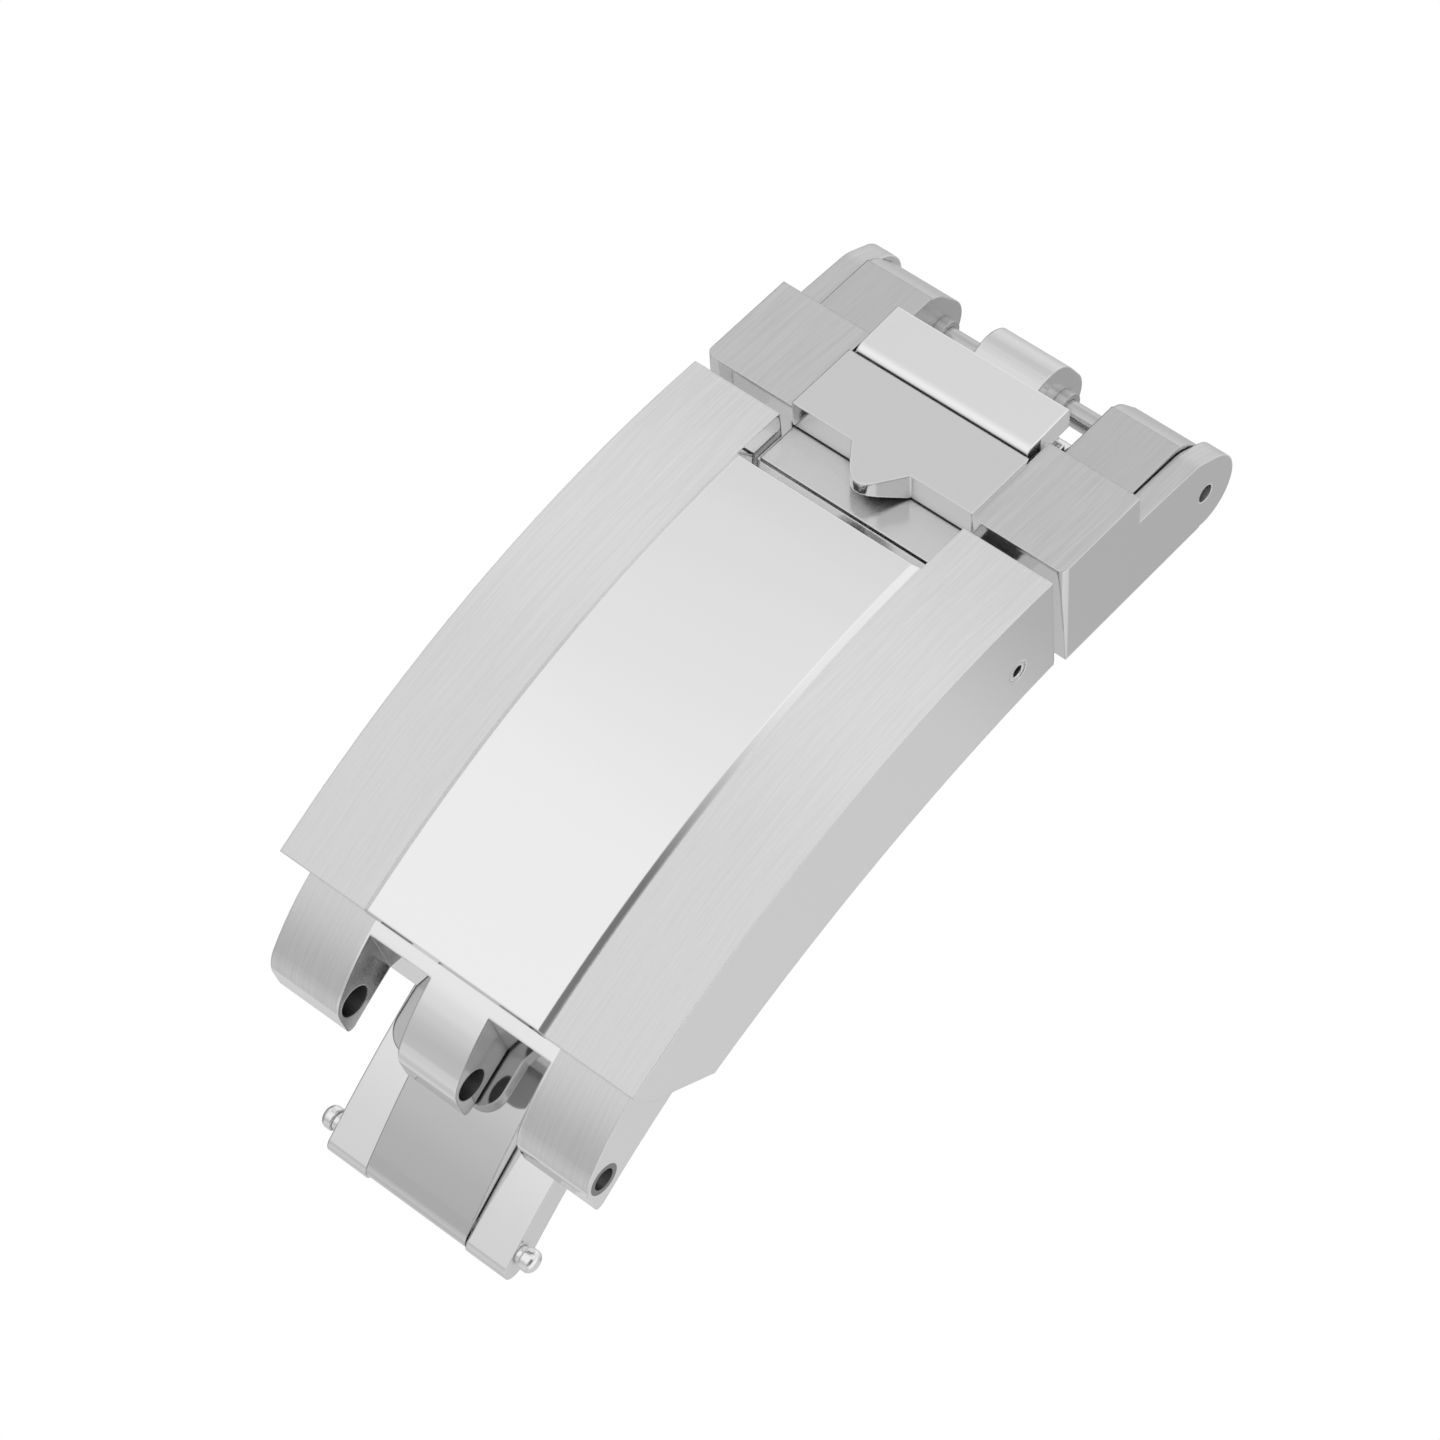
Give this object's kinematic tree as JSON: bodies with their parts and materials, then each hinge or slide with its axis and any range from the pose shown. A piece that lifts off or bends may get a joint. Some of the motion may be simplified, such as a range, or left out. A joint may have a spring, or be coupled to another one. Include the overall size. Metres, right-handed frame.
{
  "type": "deployant clasp",
  "caption": "Curved folding steel bracelet clasp with a polished centre band, safety catch, finger lever and a sliding extension link with open knuckles.",
  "frame": {"origin": "centre of the closed clasp's bounding box in X and Y, at its lowest level", "axes": "+X along the clasp to the catch end, +Y across it to the far side, +Z from the wrist to the top of the cover"},
  "size_m": [0.0418, 0.0176, 0.012],
  "materials": {
    "brushed": "lengthwise brushed sides with a mirror-polished centre",
    "satin": "fine satin with polished sides",
    "polished": "mirror polished steel",
    "pin": "turned and polished steel",
    "spring": "plain spring steel"
  },
  "bodies": {
    "root": {"end_link": "satin", "bottom_blade": "polished", "blade_rivets": "pin", "bracelet_bar": "pin", "spacer_collars": "pin", "lever_pin": "pin", "lever_spring": "spring", "latch_spring": "spring", "fold_pin": "pin", "catch_detent_balls": "pin", "catch_detent_springs": "spring"},
    "middle": {"middle_blade": "polished", "fold_bushing": "pin"},
    "cover": {"cover_shell": "brushed", "cover_hinge_pin": "pin", "latch_hook": "pin", "stop_pins": "pin", "extension_ball": "pin", "extension_spring": "spring", "extension_carrier": "polished"},
    "extension": {"extension_link": "brushed", "bracelet_screw": "pin"},
    "catch": {"safety_catch": "brushed"},
    "lever": {"release_lever": "polished"}
  },
  "joints": [
    {"name": "blade_fold", "type": "hinge", "parent": "root", "child": "middle", "pos_m": [-0.01981, 0, 0.00099], "axis": [0, -1, 0], "range_deg": [0, 150]},
    {"name": "cover_fold", "type": "hinge", "parent": "middle", "child": "cover", "pos_m": [0.00842, 0, 0.00611], "axis": [0, -1, 0], "range_deg": [-150, 0]},
    {"name": "extension_slide", "type": "hinge", "parent": "cover", "child": "extension", "pos_m": [-0.00542, 0, -0.03383], "axis": [0, -1, 0], "range_deg": [0, 6.5]},
    {"name": "catch_swing", "type": "hinge", "parent": "root", "child": "catch", "pos_m": [0.01916, 0, 0.00171], "axis": [0, 1, 0], "range_deg": [0, 115]},
    {"name": "lever_swing", "type": "hinge", "parent": "root", "child": "lever", "pos_m": [0.01666, 0, 0.00421], "axis": [0, 1, 0], "range_deg": [0, 28.75]}
  ],
  "couplings": [
    {"joint": "cover_fold", "follows": "blade_fold", "ratio": -1},
    {"joint": "lever_swing", "follows": "catch_swing", "ratio": 0.25}
  ]
}
